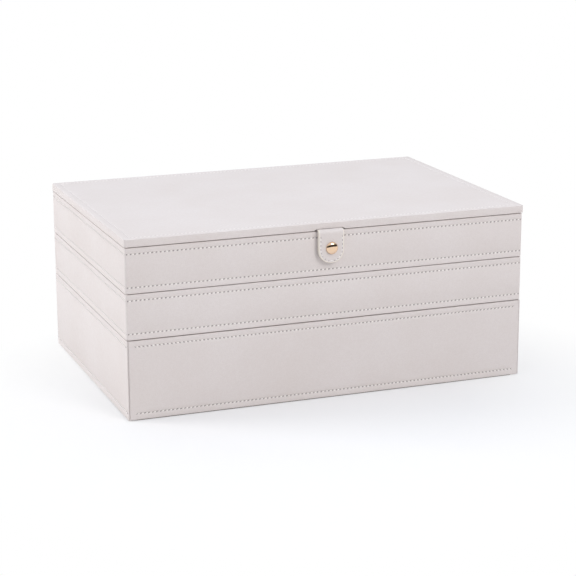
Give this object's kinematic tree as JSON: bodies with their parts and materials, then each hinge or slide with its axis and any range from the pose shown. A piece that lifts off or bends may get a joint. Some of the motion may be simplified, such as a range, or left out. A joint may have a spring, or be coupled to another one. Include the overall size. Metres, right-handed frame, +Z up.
{
  "type": "tiered jewelry box",
  "caption": "Rectangular leatherette box of stacked tiers: a drawer case, lift-off trays and a thin hinged lid closed by a snap tab.",
  "frame": {"origin": "middle of the base, on the surface that the box stands on", "axes": "+Z up, the front with the drawer and the snap tab faces -Y, +X to the right seen from the front"},
  "size_m": [0.342, 0.2435, 0.1456],
  "materials": {
    "leatherette": "fine-grained pale blush leatherette, satin",
    "velvet": "short-pile velvet, matt",
    "felt": "pressed felt, matt",
    "gold": "polished pale gold plating",
    "mirror": "silvered glass"
  },
  "bodies": {
    "case": {"base_pad": "felt", "case_carcass": "leatherette", "case_deck": "leatherette", "drawer_runner_left": "felt", "drawer_runner_right": "felt"},
    "drawer": {"drawer_front": "leatherette", "drawer_tray": "leatherette", "drawer_lining": "velvet", "drawer_cross_divider_1": "velvet", "drawer_cross_divider_2": "velvet"},
    "middle_tray": {"middle_tray": "leatherette", "middle_lining": "velvet", "middle_long_divider_1": "velvet", "middle_cross_divider_1": "velvet", "middle_cross_divider_2": "velvet", "middle_cross_divider_3": "velvet"},
    "top_tray": {"top_tray": "leatherette", "top_lining": "velvet", "top_long_divider_1": "velvet", "top_cross_divider_1": "velvet", "top_cross_divider_2": "velvet", "ring_roll_1": "velvet", "ring_roll_2": "velvet", "ring_roll_3": "velvet", "ring_roll_4": "velvet", "ring_roll_5": "velvet", "ring_roll_6": "velvet", "ring_roll_7": "velvet", "ring_roll_8": "velvet", "snap_stud": "gold", "tray_hinge_leaf_left": "gold", "tray_hinge_leaf_right": "gold", "hinge_pin_left": "gold", "hinge_pin_right": "gold"},
    "lid": {"lid_board": "leatherette", "lid_panel": "velvet", "lid_mirror": "mirror", "lid_hinge_leaf_left": "gold", "lid_hinge_leaf_right": "gold", "tab_tongue": "leatherette"},
    "tab": {"closure_tab": "leatherette", "snap_cap": "gold", "snap_socket": "gold"}
  },
  "joints": [
    {"name": "drawer_slide", "type": "slide", "parent": "case", "child": "drawer", "axis": [0, -1, 0], "range_m": [0, 0.16]},
    {"name": "middle_tray_lift", "type": "slide", "parent": "case", "child": "middle_tray", "axis": [0, 0, 1], "range_m": [0, 0.08]},
    {"name": "top_tray_lift", "type": "slide", "parent": "middle_tray", "child": "top_tray", "axis": [0, 0, 1], "range_m": [0, 0.08]},
    {"name": "lid_hinge", "type": "hinge", "parent": "top_tray", "child": "lid", "pos_m": [0, 0.1185, 0.1394], "axis": [-1, 0, 0], "range_deg": [0, 100]},
    {"name": "tab_bend", "type": "hinge", "parent": "lid", "child": "tab", "pos_m": [-0.0016, -0.116, 0.1408], "axis": [-1, 0, 0], "range_deg": [0, 90]}
  ]
}
